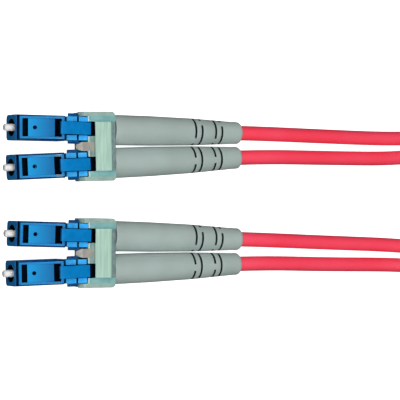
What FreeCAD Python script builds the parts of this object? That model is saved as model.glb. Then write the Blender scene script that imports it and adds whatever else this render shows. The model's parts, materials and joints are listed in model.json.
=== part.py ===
"""Duplex LC fibre patch lead: two duplex connectors joined by two jacketed fibre cords.

Plug frame: X runs rearwards from the nose face of the plug, Z is up, and the ferrule lies on X.
Each piece of a plug is drawn once in that frame, and placed four times. A duplex connector holds
two plugs in a clip. In the row frame the connectors lie on Z = 0, with X along them.
"""
import FreeCAD, Part
import math
import os

import Sketcher

V = FreeCAD.Vector
UP = V(0, 0, 1)
ALONG = V(1, 0, 0)

SIZES = [
    # plug housing
    ("plug_side", 4.5, "width and height of the square plug"),
    ("edge_round", 0.4, "radius of the plug's long edges"),
    ("bottom_round", 0.7, "radius of the housing's two long edges below"),
    ("housing_length", 9.4, "length of the plug housing"),
    ("nose_radius", 1.55, "radius of the cavity round the ferrule"),
    ("nose_depth", 2.4, "depth of that cavity"),
    ("nose_wall", 0.8, "wall that the ferrule flange rests against"),
    ("ferrule_play", 0.1, "gap round the ferrule in that wall"),
    ("chamber_radius", 1.5, "bore for the flange, the spring and the back post"),
    ("step_length", 0.58, "length of the step across the top of the nose"),
    ("step_drop", 0.35, "depth of that step"),
    ("well_depth", 0.45, "depth of the well under the latch"),
    # latch
    ("latch_width", 3.9, "width over the latch rails"),
    ("rail_width", 0.35, "width of each rail"),
    ("latch_thick", 0.5, "thickness of the latch plate"),
    ("latch_gap", 0.08, "running gap round the latch"),
    ("latch_bend", 0.9, "length of the flat root of the latch"),
    ("latch_length", 7.87, "length of the latch"),
    ("latch_rise", 1.45, "how far the tail stands above the root"),
    ("root_bar", 0.47, "length of the cross bar at the root"),
    ("front_window", 1.07, "length of the window behind the root bar"),
    ("panel_length", 4.74, "length of the panel between the windows"),
    ("tail_bar", 0.45, "length of the cross bar at the tail"),
    ("panel_sink", 0.12, "depth of the panel below the rails"),
    ("panel_dip", 0.15, "further fall of the panel to its rear edge"),
    ("dip_length", 1.5, "length of that fall"),
    ("dimple_place", 1.2, "centre of the dimple behind the panel's front edge"),
    ("dimple_radius", 0.36, "radius of the dimple"),
    ("dimple_depth", 0.2, "depth of the dimple"),
    # trigger
    ("trigger_width", 2.2, "width of the trigger"),
    ("trigger_thick", 0.55, "thickness of the trigger arm"),
    ("trigger_lap", 0.9, "how far the trigger tip reaches over the latch tail"),
    ("trigger_flat", 1.2, "length of the flat under the trigger tip"),
    ("trigger_gap", 0.1, "running gap round the trigger"),
    ("trigger_foot", 0.95, "length of the foot of the trigger"),
    ("foot_lap", 0.4, "length of the foot that stands between the rear cheek blocks"),
    ("heel_height", 0.85, "height of the trigger's foot at its front"),
    ("heel_drop", 0.25, "fall of the trigger's top over its foot"),
    # rear cover
    ("joint_gap", 0.05, "gap between the housing and the rear cover"),
    ("cover_width", 4.2, "width of the rear cover"),
    ("block_rise", 0.45, "height of the cheek blocks above the cover"),
    ("block_one", 2.0, "length of the front cheek block"),
    ("block_seam", 0.33, "gap between the cheek blocks"),
    ("seam_depth", 0.15, "depth of that gap below the cover's top"),
    ("block_two", 1.72, "length of the rear cheek block"),
    ("ear_start", 0.25, "distance from the cover's front to the side ears"),
    ("ear_reach", 0.6, "how far each side ear stands out"),
    ("ear_top", 2.6, "height of the top of the ears above the axis"),
    ("ear_height", 1.4, "height of the ears"),
    ("ear_lip", 0.15, "height of the upright front of the ears"),
    ("ear_slant", 0.8, "how far the ears' front leans back towards their underside"),
    ("ear_slope", 0.35, "size of the slope along the top of the ears"),
    ("cover_recess", 0.15, "how far the cover ends inside the clip"),
    # duplex clip
    ("plug_pitch", 6.25, "distance between the two plugs"),
    ("cover_slack", 0.175, "gap at each side of the covers in the clip"),
    ("clip_wall", 0.8, "thickness of the outer walls and arms"),
    ("middle_arm", 1.57, "width of the middle arm"),
    ("clip_slack", 0.1, "gap above and below the covers in the clip"),
    ("clip_floor", 0.7, "thickness of the clip's floor"),
    ("clip_roof", 0.5, "thickness of the clip's roof"),
    ("clip_length", 5.38, "length of the closed part of the clip"),
    ("clip_round", 0.7, "radius of the clip's rear corners"),
    ("band_rise", 0.5, "height of the raised band above the roof"),
    ("band_width", 8.7, "width of the raised band"),
    ("band_slope", 1.1, "length of the slope behind the band"),
    ("notch_room", 0.66, "gap behind the trigger in its notch"),
    ("arm_length", 1.49, "length of the outer arms ahead of the roof"),
    ("wedge_reach", 0.5, "how far the middle arm reaches ahead of the outer arms"),
    ("arm_thick", 1.2, "thickness of the arms below the roof's top"),
    ("arm_slope", 0.75, "length of the slope at the arms' front"),
    ("arm_drop", 0.95, "fall of that slope"),
    ("wedge_length", 0.8, "length of the middle arm's pointed tip"),
    ("wedge_tip", 0.7, "width of the end of that tip"),
    # ferrule, flange, spring, post and sleeve
    ("ferrule_radius", 0.625, "radius of the ceramic ferrule"),
    ("ferrule_reach", 1.4, "how far the ferrule stands out of the nose"),
    ("ferrule_chamfer", 0.12, "chamfer at the ferrule tip"),
    ("flange_radius", 1.38, "corner radius of the hexagonal flange"),
    ("flange_length", 1.3, "length of the hexagon"),
    ("flange_seat", 0.03, "gap between the flange and its wall"),
    ("tail_radius", 0.8, "radius of the flange's tail"),
    ("tail_length", 1.5, "length of the flange's tail"),
    ("wire_radius", 0.15, "radius of the spring wire"),
    ("spring_radius", 1.1, "radius of the spring's turns"),
    ("spring_pitch", 0.5, "pitch of the spring"),
    ("spring_room", 3.5, "length of the chamber that the spring fills"),
    ("post_length", 5.0, "length of the wide part of the back post"),
    ("barb_radius", 1.0, "radius of the post's barb"),
    ("barb_length", 3.8, "length of the barb"),
    ("buffer_bore", 0.5, "radius of the way for the fibre buffer"),
    ("buffer_radius", 0.45, "radius of the fibre buffer"),
    ("sleeve_wall", 0.3, "wall of the crimp sleeve"),
    ("sleeve_gap", 0.15, "gap between the post's shoulder and the sleeve"),
    ("sleeve_length", 6.65, "length of the crimp sleeve"),
    # boot
    ("boot_gap", 0.32, "gap between the clip and the boot"),
    ("boot_front", 2.76, "radius of the boot at the clip"),
    ("boot_shoulder", 2.7, "radius where the taper starts"),
    ("boot_middle", 2.5, "radius in the middle of the taper"),
    ("boot_end", 2.06, "radius of the boot's end"),
    ("shoulder_place", 8.03, "distance from the boot's front to the start of the taper"),
    ("middle_place", 16.43, "distance to the middle of the taper"),
    ("end_place", 25.23, "distance to the end of the taper"),
    ("boot_length", 26.68, "length of the boot"),
    ("boot_round", 0.6, "radius of the boot's end"),
    ("sleeve_cover", 1.0, "how far the boot's wide bore goes past the sleeve's end"),
    ("slot_width", 0.42, "width of the bend slots"),
    ("slot_depth", 1.45, "radius at the bottom of the bend slots"),
    ("slot_place", 16.18, "distance from the boot's front to the first slot"),
    ("slot_step", 1.35, "distance from a slot to its turned partner"),
    ("slot_repeat", 4.28, "distance between the two pairs of slots"),
    ("slot_arc", 152.0, "angle of each slot, in degrees"),
    # cords and coil
    ("cord_radius", 1.375, "radius of the cord jacket"),
    ("boot_slack", 0.05, "gap round the cord in the boot's bore"),
    ("coil_centre", 94.55, "place of the coil's centre along X"),
    ("turn_inner", 11.05, "radius of the inmost turn"),
    ("turn_outer", 15.9, "radius of the outmost turn"),
    ("coil_layers", 4.0, "layers of turns in the coil"),
    ("coil_round", 0.8, "radius of the coil's edges"),
    ("tie_thick", 0.5, "thickness of the coil tie"),
    ("tie_width", 5.0, "width of the coil tie"),
    # place of the connectors
    ("splay_centre", 14.7, "place along the plug that the plugs turn about in the clip"),
    ("splay", 1.5, "angle that each plug turns from the clip's axis, in degrees"),
]

# Places of the two duplex connectors: distance from the middle line, and turn in degrees.
DUPLEXES = {"a": (9.55, 1.24), "b": (-9.47, -0.32)}
# How far forward each plug sits in its clip.
PLUG_ADVANCE = {"1": 0.0, "2": 0.2}
# Turn of each boot about its own axis, in degrees.
BOOT_ROLL = {"1": 47.0, "2": 6.0}

# Routes of the cords from inside each boot to the coil, in the row frame.
ROUTES = {
    "a1": [(-1.45, 12.646, 3.05), (13.55, 12.578, 3.07), (28.55, 12.51, 3.05), (43.55, 12.25, 1.75),
           (60.55, 11.98, 1.43), (70.05, 12.75, 2.3), (78.05, 14.45, 4.15), (84.3, 15.55, 4.75)],
    "a2": [(-1.45, 6.717, 3.05), (13.55, 7.435, 3.07), (28.55, 8.153, 3.05), (43.55, 8.1, 1.75),
           (60.55, 8.1, 1.43), (69.55, 9.4, 1.43), (77.55, 12.45, 1.55), (82.7, 14.25, 1.7)],
    "b1": [(-1.45, -6.54, 3.05), (13.55, -7.017, 3.07), (28.55, -7.493, 3.05), (43.55, -8.2, 1.75),
           (60.55, -8.9, 1.6), (69.55, -9.9, 2.7), (77.55, -12.45, 4.7), (82.7, -14.25, 6.1)],
    "b2": [(-1.45, -12.468, 3.05), (13.55, -12.159, 3.07), (28.55, -11.85, 3.05),
           (43.55, -12.42, 1.75), (60.55, -12.74, 1.6), (70.05, -13.5, 4.25), (78.05, -14.6, 7.75),
           (84.3, -15.55, 9.6)],
}

# Lengths and places that follow from the sizes, as expressions.
HALF = "(Sizes.plug_side / 2)"
HOUSING_END = "Sizes.housing_length"
CHAMBER_FRONT = "(Sizes.nose_depth + Sizes.nose_wall)"
WELL_FLOOR = f"({HALF} - Sizes.well_depth)"
LATCH_FRONT = "(Sizes.step_length + Sizes.latch_gap / 2)"
LATCH_BEND = f"({LATCH_FRONT} + Sizes.latch_bend)"
LATCH_REAR = f"({LATCH_FRONT} + Sizes.latch_length)"
LATCH_BASE = f"({WELL_FLOOR} + Sizes.latch_gap)"
LATCH_TAIL_TOP = f"({LATCH_BASE} + Sizes.latch_rise + Sizes.latch_thick)"
LATCH_SLOPE = "(Sizes.latch_rise / (Sizes.latch_length - Sizes.latch_bend))"
WINDOW_FRONT = f"({LATCH_FRONT} + Sizes.root_bar)"
PANEL_FRONT = f"({WINDOW_FRONT} + Sizes.front_window)"
PANEL_REAR = f"({PANEL_FRONT} + Sizes.panel_length)"
WINDOW_HALF = "(Sizes.latch_width / 2 - Sizes.rail_width)"
COVER_FRONT = "(Sizes.housing_length + Sizes.joint_gap)"
BLOCK_TOP = f"({HALF} + Sizes.block_rise)"
BLOCK_ONE_REAR = f"({COVER_FRONT} + Sizes.block_one)"
BLOCK_TWO_FRONT = f"({BLOCK_ONE_REAR} + Sizes.block_seam)"
BLOCK_TWO_REAR = f"({BLOCK_TWO_FRONT} + Sizes.block_two)"
TRIGGER_TIP = f"({LATCH_REAR} - Sizes.trigger_lap)"
TRIGGER_FOOT_FRONT = f"({BLOCK_TWO_REAR} - Sizes.foot_lap)"
TRIGGER_REAR = f"({TRIGGER_FOOT_FRONT} + Sizes.trigger_foot)"
TRIGGER_UNDER = f"({LATCH_TAIL_TOP} + Sizes.trigger_gap)"
FOOT_UNDER = f"({HALF} + Sizes.trigger_gap)"
HEEL_TOP = f"({FOOT_UNDER} + Sizes.heel_height)"
CLIP_FRONT = f"({BLOCK_TWO_REAR} + Sizes.joint_gap)"
CLIP_REAR = f"({CLIP_FRONT} + Sizes.clip_length)"
ARM_FRONT = f"({CLIP_FRONT} - Sizes.arm_length)"
WEDGE_FRONT = f"({ARM_FRONT} - Sizes.wedge_reach)"
EAR_FRONT = f"({COVER_FRONT} + Sizes.ear_start)"
EAR_REAR = f"({ARM_FRONT} - 2 * Sizes.clip_slack)"
BAND_FRONT = f"({TRIGGER_REAR} + Sizes.notch_room)"
CHANNEL_HALF = f"({HALF} + Sizes.clip_slack)"
ROOF_TOP = f"({CHANNEL_HALF} + Sizes.clip_roof)"
CLIP_BOTTOM = f"({CHANNEL_HALF} + Sizes.clip_floor)"
COVER_END = f"({CLIP_REAR} - Sizes.cover_recess)"
FLANGE_FRONT = f"({CHAMBER_FRONT} + Sizes.flange_seat)"
FLANGE_REAR = f"({FLANGE_FRONT} + Sizes.flange_length)"
POST_FRONT = f"({FLANGE_REAR} + Sizes.spring_room)"
POST_SHOULDER = f"({POST_FRONT} + Sizes.post_length)"
SLEEVE_FRONT = f"({POST_SHOULDER} + Sizes.sleeve_gap)"
SLEEVE_REAR = f"({SLEEVE_FRONT} + Sizes.sleeve_length)"
SLEEVE_RADIUS = "(Sizes.barb_radius + Sizes.sleeve_wall)"
BOOT_FRONT = f"({CLIP_REAR} + Sizes.boot_gap)"
BOOT_REAR = f"({BOOT_FRONT} + Sizes.boot_length)"
COIL_INNER = "(Sizes.turn_inner - Sizes.cord_radius)"
COIL_OUTER = "(Sizes.turn_outer + Sizes.cord_radius)"
COIL_TOP = "(Sizes.tie_thick + 2 * Sizes.coil_layers * Sizes.cord_radius)"

doc = FreeCAD.newDocument("PatchLead")
sheet = doc.addObject("Spreadsheet::Sheet", "Sizes")
for row, (alias, size, meaning) in enumerate(SIZES, start=1):
    sheet.set(f"A{row}", meaning)
    sheet.set(f"B{row}", str(size))
    sheet.setAlias(f"B{row}", alias)
doc.recompute()


def value(expression):
    """The number that an expression over the sheet gives now."""
    return float(sheet.evalExpression(expression))


def new_body(label):
    body = doc.addObject("PartDesign::Body", label)
    body.Label = label
    return body


def new_sketch(body, name, plane, offset=None):
    """A sketch on one of the body's own origin planes, moved along its normal by an expression."""
    sketch = body.newObject("Sketcher::SketchObject", f"{body.Label}_{name}")
    base = next(f for f in body.Origin.OriginFeatures if f.Role == plane)
    sketch.AttachmentSupport = [(base, "")]
    sketch.MapMode = "FlatFace"
    if offset:
        sketch.setExpression("AttachmentOffset.Base.z", offset)
    return sketch


def outline(sketch, corners):
    """A closed outline through corners, each a pair of expressions that also drive it."""
    places = [(value(across), value(up)) for across, up in corners]
    first = sketch.GeometryCount
    count = len(corners)
    for i in range(count):
        start, end = V(*places[i]), V(*places[(i + 1) % count])
        sketch.addGeometry(Part.LineSegment(start, end))
    for i in range(count):
        sketch.addConstraint(
            Sketcher.Constraint("Coincident", first + i, 2, first + (i + 1) % count, 1))
        for kind, side in (("DistanceX", 0), ("DistanceY", 1)):
            rule = sketch.addConstraint(
                Sketcher.Constraint(kind, -1, 1, first + i, 1, places[i][side]))
            sketch.setExpression(f"Constraints[{rule}]", corners[i][side])
    return sketch


def rectangle(sketch, left, right, low, high):
    return outline(sketch, [(left, low), (right, low), (right, high), (left, high)])


def circle(sketch, across, up, radius):
    """A circle at a place given by expressions."""
    centre = V(value(across), value(up))
    edge = sketch.addGeometry(Part.Circle(centre, UP, value(radius)))
    rule = sketch.addConstraint(Sketcher.Constraint("Radius", edge, value(radius)))
    sketch.setExpression(f"Constraints[{rule}]", radius)
    for kind, place, distance in (("DistanceX", across, centre.x), ("DistanceY", up, centre.y)):
        rule = sketch.addConstraint(Sketcher.Constraint(kind, -1, 1, edge, 3, distance))
        sketch.setExpression(f"Constraints[{rule}]", place)
    return sketch


def feature(kind, body, sketch, name):
    made = body.newObject(f"PartDesign::{kind}", f"{sketch.Name}_{name}")
    made.Profile = sketch
    return made


def pad(body, sketch, length, symmetric=False):
    made = feature("Pad", body, sketch, "pad")
    made.SideType = "Symmetric" if symmetric else "One side"
    made.setExpression("Length", length)
    doc.recompute()
    return made


def pocket(body, sketch, length, symmetric=False, forwards=False):
    """A cut against the sketch's normal, or along it if forwards, or to both sides."""
    before = body.Shape.Volume
    made = feature("Pocket", body, sketch, "pocket")
    made.SideType = "Symmetric" if symmetric else "One side"
    made.Reversed = forwards
    made.setExpression("Length", length)
    doc.recompute()
    if body.Shape.Volume >= before:
        raise RuntimeError(f"{sketch.Name} cuts nothing")
    return made


def revolve(body, sketch, axis="H_Axis"):
    made = feature("Revolution", body, sketch, "turn")
    made.ReferenceAxis = (sketch, [axis])
    made.Angle = 360.0
    doc.recompute()
    return made


def groove(body, sketch, angle=None, axis="H_Axis"):
    """A cut turned about an axis: all round, or by an angle to both sides of the sketch."""
    before = body.Shape.Volume
    made = feature("Groove", body, sketch, "groove")
    made.ReferenceAxis = (sketch, [axis])
    made.Angle = 360.0
    if angle:
        made.Midplane = True
        made.setExpression("Angle", angle)
    doc.recompute()
    if body.Shape.Volume >= before:
        raise RuntimeError(f"{sketch.Name} cuts nothing")
    return made


def fillet(body, radius, wanted):
    """Rounds each edge of the body so far that wanted() picks."""
    base = body.Tip
    names = [f"Edge{i}" for i, edge in enumerate(base.Shape.Edges, start=1) if wanted(edge)]
    made = body.newObject("PartDesign::Fillet", f"{body.Label}_round{len(body.Group)}")
    made.Base = (base, names)
    made.setExpression("Radius", radius)
    doc.recompute()
    return made


def runs_along(edge, axis):
    """Whether an edge is straight and parallel to an axis."""
    if not isinstance(edge.Curve, Part.Line):
        return False
    return abs(abs(edge.Curve.Direction.dot(axis)) - 1) < 1e-6


def make_housing():
    """The square plug: nose cavity, ferrule wall and spring chamber, with a well for the latch."""
    body = new_body("housing")
    bar = rectangle(new_sketch(body, "bar", "YZ_Plane"), f"-{HALF}", HALF, f"-{HALF}", HALF)
    pad(body, bar, HOUSING_END)
    for radius, side in (("Sizes.edge_round", 1), ("Sizes.bottom_round", -1)):
        fillet(body, radius, lambda edge: (
            runs_along(edge, ALONG) and side * edge.BoundBox.Center.z > value(HALF) / 2
            and abs(edge.BoundBox.Center.y) > value(HALF) - 1e-6))
    hole = "(Sizes.ferrule_radius + Sizes.ferrule_play)"
    bore = outline(new_sketch(body, "bore", "XY_Plane"), [
        ("0", "0"), ("0", "Sizes.nose_radius"), ("Sizes.nose_depth", "Sizes.nose_radius"),
        ("Sizes.nose_depth", hole), (CHAMBER_FRONT, hole),
        (CHAMBER_FRONT, "Sizes.chamber_radius"), (HOUSING_END, "Sizes.chamber_radius"),
        (HOUSING_END, "0")])
    groove(body, bore)
    step = rectangle(new_sketch(body, "step", "XZ_Plane"),
                     "0", "Sizes.step_length", f"{HALF} - Sizes.step_drop", HALF)
    pocket(body, step, "Sizes.plug_side", symmetric=True)
    well_half = "(Sizes.latch_width / 2 + Sizes.latch_gap)"
    well = rectangle(new_sketch(body, "well", "XY_Plane", WELL_FLOOR),
                     "Sizes.step_length", HOUSING_END, f"-{well_half}", well_half)
    pocket(body, well, "Sizes.well_depth", forwards=True)
    return body


def make_latch():
    """The springy latch: two rails with a panel between two windows, rising to its tail."""
    body = new_body("latch")
    top = f"({LATCH_BASE} + Sizes.latch_thick)"
    side = outline(new_sketch(body, "side", "XZ_Plane"), [
        (LATCH_FRONT, LATCH_BASE), (LATCH_BEND, LATCH_BASE),
        (LATCH_REAR, f"{LATCH_BASE} + Sizes.latch_rise"), (LATCH_REAR, LATCH_TAIL_TOP),
        (LATCH_BEND, top), (LATCH_FRONT, top)])
    pad(body, side, "Sizes.latch_width", symmetric=True)
    windows = new_sketch(body, "windows", "XY_Plane", LATCH_BASE)
    rectangle(windows, WINDOW_FRONT, PANEL_FRONT, f"-{WINDOW_HALF}", WINDOW_HALF)
    rectangle(windows, PANEL_REAR, f"{LATCH_REAR} - Sizes.tail_bar",
              f"-{WINDOW_HALF}", WINDOW_HALF)
    pocket(body, windows, "Sizes.latch_rise + 2 * Sizes.latch_thick", forwards=True)

    def panel_top(place, drop):
        return f"{top} + {LATCH_SLOPE} * ({place} - {LATCH_BEND}) - {drop}"
    dip_front = f"({PANEL_REAR} - Sizes.dip_length)"
    sunk = outline(new_sketch(body, "panel", "XZ_Plane"), [
        (PANEL_FRONT, panel_top(PANEL_FRONT, "Sizes.panel_sink")),
        (dip_front, panel_top(dip_front, "Sizes.panel_sink")),
        (PANEL_REAR, panel_top(PANEL_REAR, "Sizes.panel_sink - Sizes.panel_dip")),
        (PANEL_REAR, panel_top(PANEL_REAR, "0")), (PANEL_FRONT, panel_top(PANEL_FRONT, "0"))])
    pocket(body, sunk, f"2 * {WINDOW_HALF}", symmetric=True)
    dimple_place = f"({PANEL_FRONT} + Sizes.dimple_place)"
    dimple_floor = panel_top(dimple_place, "Sizes.panel_sink - Sizes.dimple_depth")
    dimple = circle(new_sketch(body, "dimple", "XY_Plane", dimple_floor),
                    dimple_place, "0", "Sizes.dimple_radius")
    pocket(body, dimple, "2 * Sizes.latch_thick", forwards=True)
    return body


def make_trigger():
    """The arm that presses the latch's tail, hinged at its foot on the rear cover."""
    body = new_body("trigger")
    side = outline(new_sketch(body, "side", "XZ_Plane"), [
        (TRIGGER_TIP, TRIGGER_UNDER),
        (f"{TRIGGER_TIP} + Sizes.trigger_flat", TRIGGER_UNDER),
        (TRIGGER_FOOT_FRONT, f"{HEEL_TOP} - Sizes.trigger_thick"),
        (TRIGGER_FOOT_FRONT, FOOT_UNDER), (TRIGGER_REAR, FOOT_UNDER),
        (TRIGGER_REAR, f"{HEEL_TOP} - Sizes.heel_drop"), (TRIGGER_FOOT_FRONT, HEEL_TOP),
        (f"{TRIGGER_TIP} + Sizes.trigger_flat", f"{TRIGGER_UNDER} + Sizes.trigger_thick"),
        (TRIGGER_TIP, f"{TRIGGER_UNDER} + Sizes.trigger_thick")])
    pad(body, side, "Sizes.trigger_width", symmetric=True)
    return body


def make_rear_cover():
    """The rear shell: cheek blocks beside the trigger, side ears, and the bore of the back post."""
    body = new_body("rear_cover")
    side = outline(new_sketch(body, "side", "XZ_Plane"), [
        (COVER_FRONT, f"-{HALF}"), (COVER_END, f"-{HALF}"), (COVER_END, HALF),
        (BLOCK_TWO_REAR, HALF), (BLOCK_TWO_REAR, BLOCK_TOP), (COVER_FRONT, BLOCK_TOP)])
    pad(body, side, "Sizes.cover_width", symmetric=True)
    ear_floor = "(Sizes.ear_top - Sizes.ear_height)"
    ears = outline(new_sketch(body, "ears", "XZ_Plane"), [
        (EAR_FRONT, "Sizes.ear_top"), (EAR_FRONT, "Sizes.ear_top - Sizes.ear_lip"),
        (f"{EAR_FRONT} + Sizes.ear_slant", ear_floor), (EAR_REAR, ear_floor),
        (EAR_REAR, "Sizes.ear_top")])
    pad(body, ears, "Sizes.cover_width + 2 * Sizes.ear_reach", symmetric=True)
    reach, top = value("Sizes.cover_width / 2 + Sizes.ear_reach"), value("Sizes.ear_top")
    sloped = body.newObject("PartDesign::Chamfer", "rear_cover_ear_slopes")
    sloped.Base = (body.Group[-2], [
        f"Edge{i}" for i, edge in enumerate(body.Group[-2].Shape.Edges, start=1)
        if runs_along(edge, ALONG) and abs(abs(edge.BoundBox.Center.y) - reach) < 1e-6
        and abs(edge.BoundBox.Center.z - top) < 1e-6])
    sloped.setExpression("Size", "Sizes.ear_slope")
    doc.recompute()
    seam = rectangle(new_sketch(body, "seam", "XZ_Plane"), BLOCK_ONE_REAR, BLOCK_TWO_FRONT,
                     f"{HALF} - Sizes.seam_depth", BLOCK_TOP)
    pocket(body, seam, "Sizes.cover_width", symmetric=True)
    channel_half = "(Sizes.trigger_width / 2 + Sizes.trigger_gap)"
    channel = rectangle(new_sketch(body, "channel", "YZ_Plane", COVER_FRONT),
                        f"-{channel_half}", channel_half, HALF, BLOCK_TOP)
    pocket(body, channel, f"{BLOCK_TWO_REAR} - {COVER_FRONT}", forwards=True)
    bore = rectangle(new_sketch(body, "bore", "XY_Plane"),
                     COVER_FRONT, COVER_END, "0", "Sizes.chamber_radius")
    groove(body, bore)
    half_width = value("Sizes.cover_width / 2")
    half_side = value(HALF)
    fillet(body, "Sizes.edge_round", lambda edge: (
        runs_along(edge, ALONG)
        and abs(abs(edge.BoundBox.Center.y) - half_width) < 1e-6
        and abs(edge.BoundBox.Center.z + half_side) < 1e-6))
    return body


def make_ferrule():
    body = new_body("ferrule")
    tip = "-Sizes.ferrule_reach"
    side = outline(new_sketch(body, "side", "XY_Plane"), [
        (tip, "0"), (tip, "Sizes.ferrule_radius - Sizes.ferrule_chamfer"),
        (f"{tip} + Sizes.ferrule_chamfer", "Sizes.ferrule_radius"),
        (FLANGE_REAR, "Sizes.ferrule_radius"), (FLANGE_REAR, "0")])
    revolve(body, side)
    return body


def make_ferrule_flange():
    """The hexagonal flange that holds the ferrule, with a tail inside the spring."""
    body = new_body("ferrule_flange")
    corner = "Sizes.flange_radius"
    tall = f"{corner} * sqrt(3) / 2"
    hexagon = outline(new_sketch(body, "hexagon", "YZ_Plane", FLANGE_FRONT), [
        (corner, "0"), (f"{corner} / 2", tall), (f"-{corner} / 2", tall), (f"-{corner}", "0"),
        (f"-{corner} / 2", f"-{tall}"), (f"{corner} / 2", f"-{tall}")])
    pad(body, hexagon, "Sizes.flange_length")
    tail = circle(new_sketch(body, "tail", "YZ_Plane", FLANGE_REAR),
                  "0", "0", "Sizes.tail_radius")
    pad(body, tail, "Sizes.tail_length")
    tail_end = f"{FLANGE_REAR} + Sizes.tail_length"
    bore = outline(new_sketch(body, "bore", "XY_Plane"), [
        (FLANGE_FRONT, "0"), (FLANGE_FRONT, "Sizes.ferrule_radius"),
        (FLANGE_REAR, "Sizes.ferrule_radius"), (FLANGE_REAR, "Sizes.buffer_bore"),
        (tail_end, "Sizes.buffer_bore"), (tail_end, "0")])
    groove(body, bore)
    return body


def make_spring():
    """The compression spring between the flange and the back post."""
    body = new_body("spring")
    start = f"{FLANGE_REAR} + 1.5 * Sizes.wire_radius"
    wire = circle(new_sketch(body, "wire", "XZ_Plane"),
                  start, "Sizes.spring_radius", "Sizes.wire_radius")
    helix = feature("AdditiveHelix", body, wire, "coil")
    helix.ReferenceAxis = (wire, ["H_Axis"])
    helix.Mode = "pitch-height-angle"
    helix.setExpression("Pitch", "Sizes.spring_pitch")
    helix.setExpression("Height", "Sizes.spring_room - 3 * Sizes.wire_radius")
    doc.recompute()
    return body


def make_back_post():
    """The post pressed into the housing and the rear cover, with a barb for the crimp sleeve."""
    body = new_body("back_post")
    barb_end = f"{POST_SHOULDER} + Sizes.barb_length"
    side = outline(new_sketch(body, "side", "XY_Plane"), [
        (POST_FRONT, "Sizes.buffer_bore"), (POST_FRONT, "Sizes.chamber_radius"),
        (POST_SHOULDER, "Sizes.chamber_radius"), (POST_SHOULDER, "Sizes.barb_radius"),
        (barb_end, "Sizes.barb_radius"), (barb_end, "Sizes.buffer_bore")])
    revolve(body, side)
    return body


def make_crimp_sleeve():
    body = new_body("crimp_sleeve")
    wall = rectangle(new_sketch(body, "wall", "XY_Plane"),
                     SLEEVE_FRONT, SLEEVE_REAR, "Sizes.barb_radius", SLEEVE_RADIUS)
    revolve(body, wall)
    return body


def make_fibre_buffer():
    body = new_body("fibre_buffer")
    core = rectangle(new_sketch(body, "core", "XY_Plane"),
                     FLANGE_REAR, SLEEVE_REAR, "0", "Sizes.buffer_radius")
    revolve(body, core)
    return body


def make_boot():
    """The tapered strain relief, with two pairs of bend slots; partners are a quarter turn apart."""
    body = new_body("boot")
    wide = f"({SLEEVE_RADIUS} + 2 * Sizes.joint_gap)"
    bore = "(Sizes.cord_radius + Sizes.boot_slack)"
    wide_end = f"({SLEEVE_REAR} + Sizes.sleeve_cover / 2)"
    side = outline(new_sketch(body, "side", "XY_Plane"), [
        (BOOT_FRONT, wide), (BOOT_FRONT, "Sizes.boot_front"),
        (f"{BOOT_FRONT} + Sizes.shoulder_place", "Sizes.boot_shoulder"),
        (f"{BOOT_FRONT} + Sizes.middle_place", "Sizes.boot_middle"),
        (f"{BOOT_FRONT} + Sizes.end_place", "Sizes.boot_end"),
        (BOOT_REAR, "Sizes.boot_end"), (BOOT_REAR, bore), (wide_end, bore), (wide_end, wide)])
    revolve(body, side)
    rear, end_radius = value(BOOT_REAR), value("Sizes.boot_end")
    fillet(body, "Sizes.boot_round", lambda edge: (
        abs(edge.BoundBox.XMin - rear) < 1e-6
        and abs(edge.BoundBox.XMax - rear) < 1e-6
        and abs(edge.BoundBox.YMax - end_radius) < 1e-3))
    # The arcs of a slot lie to both sides of their sketch's plane, so bridges face across it.
    for name, plane, shift in (("slots", "XY_Plane", "0"), ("partners", "XZ_Plane", "Sizes.slot_step")):
        rings = new_sketch(body, name, plane)
        for pair in ("0", "Sizes.slot_repeat"):
            start = f"({BOOT_FRONT} + Sizes.slot_place + {shift} + {pair})"
            rectangle(rings, start, f"{start} + Sizes.slot_width",
                      "Sizes.slot_depth", "Sizes.boot_front")
        cut = groove(body, rings, "Sizes.slot_arc")
        both = body.newObject("PartDesign::PolarPattern", f"{rings.Name}_both")
        both.Originals = [cut]
        both.Axis = (rings, ["H_Axis"])
        both.Angle = 360.0
        both.Occurrences = 2
        body.Tip = both
        doc.recompute()
    return body


def slope_arms(body, name, front, half_width):
    """Slope the tops of the clip's arms down to their fronts, as far across as half_width."""
    slope = outline(new_sketch(body, name, "XZ_Plane"), [
        (front, f"{ROOF_TOP} - Sizes.arm_drop"),
        (f"{front} + Sizes.arm_slope", ROOF_TOP), (front, ROOF_TOP)])
    pocket(body, slope, f"2 * {half_width}", symmetric=True)


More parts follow.
